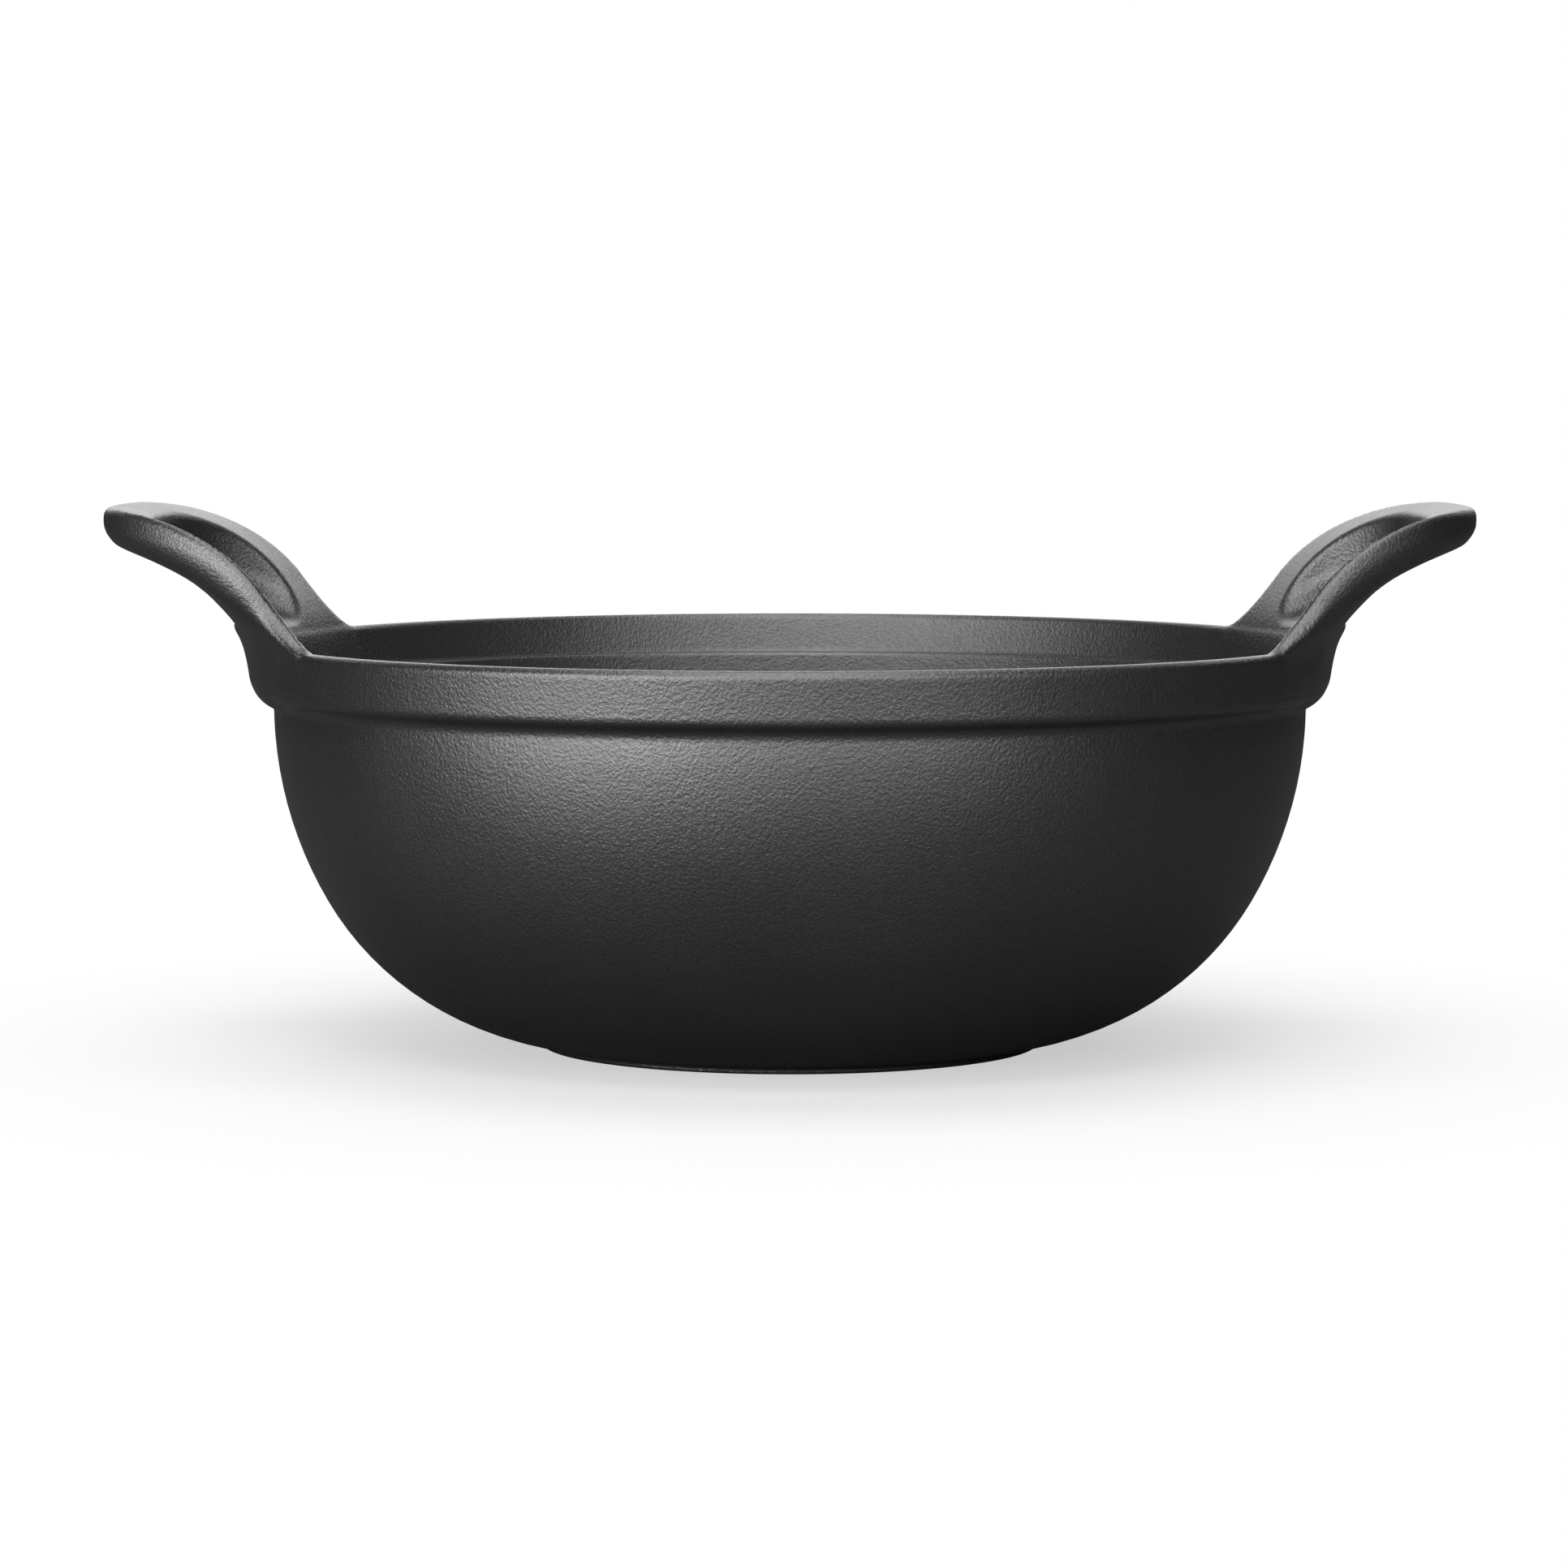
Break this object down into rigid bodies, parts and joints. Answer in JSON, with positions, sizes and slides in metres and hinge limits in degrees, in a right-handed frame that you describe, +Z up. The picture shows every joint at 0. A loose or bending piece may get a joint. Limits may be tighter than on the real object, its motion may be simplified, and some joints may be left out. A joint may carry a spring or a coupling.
{
  "type": "cast iron bowl",
  "caption": "Deep round-bottomed cast iron cooking bowl with a ledged collar and flared loop handles on opposite sides.",
  "frame": {"origin": "centre of the foot's underside, on the bowl's axis", "axes": "+Z up along the bowl's axis, +X and -X towards the handles, +Y away from the viewer"},
  "size_m": [0.3826, 0.3, 0.1505],
  "materials": {
    "iron": "seasoned, satin"
  },
  "bodies": {
    "root": {"bowl": "iron"}
  },
  "joints": []
}
